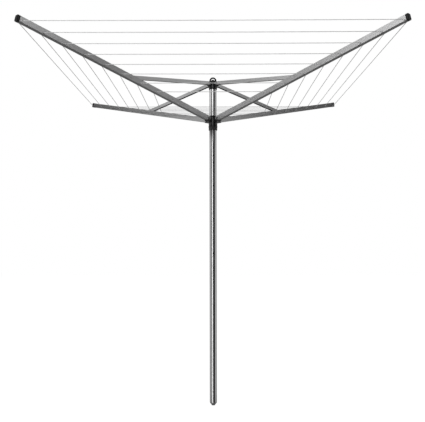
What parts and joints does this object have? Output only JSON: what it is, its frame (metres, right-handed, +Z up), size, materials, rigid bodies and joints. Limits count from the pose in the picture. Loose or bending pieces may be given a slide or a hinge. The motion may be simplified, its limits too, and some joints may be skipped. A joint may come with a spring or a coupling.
{
  "type": "rotary clothesline",
  "caption": "Rotary clothesline on a single steel pole: a turning head, a sliding runner with a lock collar, folding channel arms held by struts, and square rings of drying line.",
  "frame": {"origin": "centre of the foot of the pole, where its lowest face would stand", "axes": "+Z up along the pole; the open arms stand on the diagonals of X and Y; -Y is the side of the release lever"},
  "size_m": [1.907, 1.907, 2.0973],
  "materials": {
    "pole_steel": "zinc plated steel tube, satin to bright",
    "arm_aluminium": "mill finish aluminium extrusion",
    "black_plastic": "moulded, slight sheen",
    "dark_plastic": "moulded, matt",
    "white_nylon": "moulded, plain",
    "zinc_steel": "zinc plated",
    "black_steel": "blackened",
    "line_pvc": "smooth PVC coat"
  },
  "bodies": {
    "pole": {"pole_tube": "pole_steel", "pole_foot_plug": "dark_plastic", "pole_top_plug": "white_nylon", "thrust_washer": "white_nylon"},
    "head": {"top_hub": "black_plastic", "top_plate": "black_plastic", "hanging_loop": "black_plastic", "spindle_bolt": "black_steel", "spindle_clip": "zinc_steel"},
    "runner": {"lower_hub": "black_plastic", "arm_pivot_pins": "black_steel", "line_ring_1": "line_pvc", "line_ring_2": "line_pvc", "line_ring_3": "line_pvc", "line_ring_4": "line_pvc", "line_ring_5": "line_pvc", "line_ring_6": "line_pvc", "line_ring_7": "line_pvc", "line_ring_8": "line_pvc"},
    "collar": {"lock_collar": "black_plastic", "lever_pin": "zinc_steel", "lever_spring": "zinc_steel"},
    "lever": {"release_lever": "dark_plastic"},
    "arm_1": {"arm_1": "arm_aluminium", "end_cap_1": "black_plastic", "strut_pin_1": "zinc_steel", "strut_spacers_1": "white_nylon"},
    "strut_1": {"strut_1": "arm_aluminium", "strut_trunnion_1": "black_steel"},
    "arm_2": {"arm_2": "arm_aluminium", "end_cap_2": "black_plastic", "strut_pin_2": "zinc_steel", "strut_spacers_2": "white_nylon"},
    "strut_2": {"strut_2": "arm_aluminium", "strut_trunnion_2": "black_steel"},
    "arm_3": {"arm_3": "arm_aluminium", "end_cap_3": "black_plastic", "strut_pin_3": "zinc_steel", "strut_spacers_3": "white_nylon"},
    "strut_3": {"strut_3": "arm_aluminium", "strut_trunnion_3": "black_steel"},
    "arm_4": {"arm_4": "arm_aluminium", "end_cap_4": "black_plastic", "strut_pin_4": "zinc_steel", "strut_spacers_4": "white_nylon"},
    "strut_4": {"strut_4": "arm_aluminium", "strut_trunnion_4": "black_steel"}
  },
  "joints": [
    {"name": "head_spin", "type": "hinge", "parent": "pole", "child": "head", "pos_m": [0, 0, 2.001], "axis": [0, 0, 1], "continuous": true},
    {"name": "runner_slide", "type": "slide", "parent": "head", "child": "runner", "axis": [0, 0, -1], "range_m": [0, 1.02043], "deforming": ["line_ring_1", "line_ring_2", "line_ring_3", "line_ring_4", "line_ring_5", "line_ring_6", "line_ring_7", "line_ring_8"]},
    {"name": "arm_1_fold", "type": "hinge", "parent": "runner", "child": "arm_1", "pos_m": [0.03267, 0.03267, 1.777], "axis": [0.7071, -0.7071, 0], "range_deg": [0, 74.7]},
    {"name": "strut_1_fold", "type": "hinge", "parent": "arm_1", "child": "strut_1", "pos_m": [0.46344, 0.46344, 1.92101], "axis": [0.7071, -0.7071, 0], "range_deg": [-154.8, 0]},
    {"name": "arm_2_fold", "type": "hinge", "parent": "runner", "child": "arm_2", "pos_m": [-0.03267, 0.03267, 1.777], "axis": [0.7071, 0.7071, 0], "range_deg": [0, 74.7]},
    {"name": "strut_2_fold", "type": "hinge", "parent": "arm_2", "child": "strut_2", "pos_m": [-0.46344, 0.46344, 1.92101], "axis": [0.7071, 0.7071, 0], "range_deg": [-154.8, 0]},
    {"name": "arm_3_fold", "type": "hinge", "parent": "runner", "child": "arm_3", "pos_m": [-0.03267, -0.03267, 1.777], "axis": [-0.7071, 0.7071, 0], "range_deg": [0, 74.7]},
    {"name": "strut_3_fold", "type": "hinge", "parent": "arm_3", "child": "strut_3", "pos_m": [-0.46344, -0.46344, 1.92101], "axis": [-0.7071, 0.7071, 0], "range_deg": [-154.8, 0]},
    {"name": "arm_4_fold", "type": "hinge", "parent": "runner", "child": "arm_4", "pos_m": [0.03267, -0.03267, 1.777], "axis": [-0.7071, -0.7071, 0], "range_deg": [0, 74.7]},
    {"name": "strut_4_fold", "type": "hinge", "parent": "arm_4", "child": "strut_4", "pos_m": [0.46344, -0.46344, 1.92101], "axis": [-0.7071, -0.7071, 0], "range_deg": [-154.8, 0]},
    {"name": "collar_slide", "type": "slide", "parent": "pole", "child": "collar", "axis": [0, 0, -1], "range_m": [0, 1.02044]},
    {"name": "lever_press", "type": "hinge", "parent": "collar", "child": "lever", "pos_m": [0, -0.028, 1.7155], "axis": [1, 0, 0], "range_deg": [0, 8], "stiffness_Nm_per_rad": 0.3, "springref_deg": -11.46, "deforming": ["lever_spring"]}
  ],
  "couplings": [
    {"joint": "arm_1_fold", "follows": "runner_slide", "rad_per_m": 1.2777},
    {"joint": "strut_1_fold", "follows": "runner_slide", "rad_per_m": -2.6476},
    {"joint": "arm_2_fold", "follows": "runner_slide", "rad_per_m": 1.2777},
    {"joint": "strut_2_fold", "follows": "runner_slide", "rad_per_m": -2.6476},
    {"joint": "arm_3_fold", "follows": "runner_slide", "rad_per_m": 1.2777},
    {"joint": "strut_3_fold", "follows": "runner_slide", "rad_per_m": -2.6476},
    {"joint": "arm_4_fold", "follows": "runner_slide", "rad_per_m": 1.2777},
    {"joint": "strut_4_fold", "follows": "runner_slide", "rad_per_m": -2.6476},
    {"joint": "collar_slide", "follows": "runner_slide", "ratio": 1}
  ]
}
